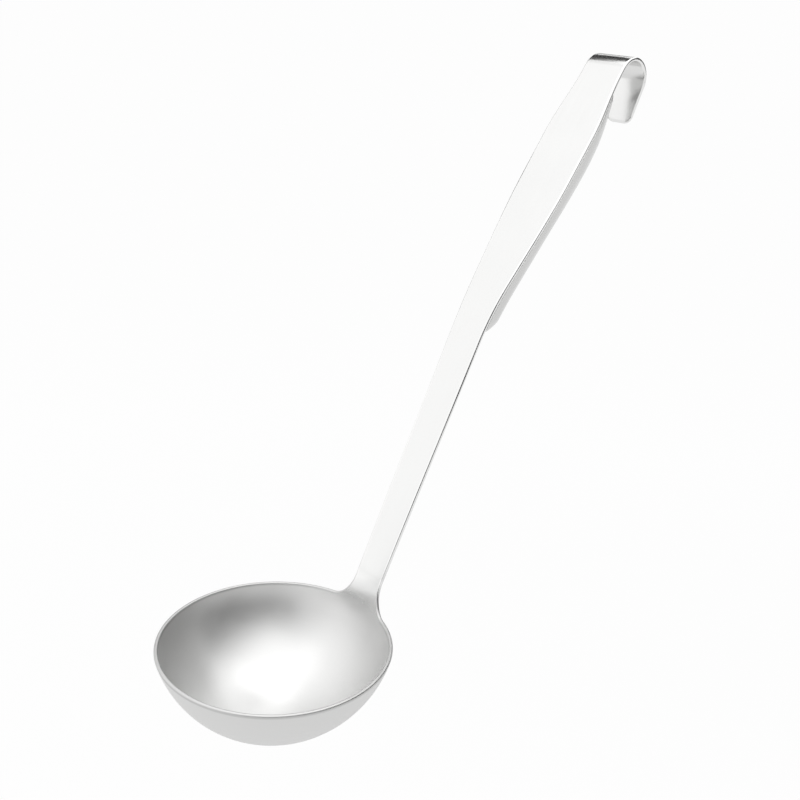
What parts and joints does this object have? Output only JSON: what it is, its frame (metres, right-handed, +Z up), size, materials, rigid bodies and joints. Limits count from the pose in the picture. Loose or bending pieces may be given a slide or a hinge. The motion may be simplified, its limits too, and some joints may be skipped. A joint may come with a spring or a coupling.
{
  "type": "soup ladle",
  "caption": "Deep round bowl on a slanting strip handle that widens into a hollow-backed grip and turns over into a hanging hook.",
  "frame": {"origin": "centre of the hook's bend, halfway across the strip", "axes": "+Z up with the bowl's rim level, +X from the bowl towards the hook, +Y across the strip along the hook's axis"},
  "size_m": [0.2317, 0.092, 0.2516],
  "materials": {
    "bowl_steel": "satin, finely brushed in circles inside and out, with a polished rim",
    "weld_steel": "ground flush and polished along the handle",
    "strip_steel": "bright satin, brushed along the handle, with polished edges",
    "shell_steel": "satin, brushed along the handle",
    "seam_steel": "polished weld line"
  },
  "bodies": {
    "root": {"bowl": "bowl_steel", "neck_weld": "weld_steel", "handle_strip": "strip_steel", "handle_back_shell": "shell_steel", "shell_seam_weld": "seam_steel"}
  },
  "joints": []
}
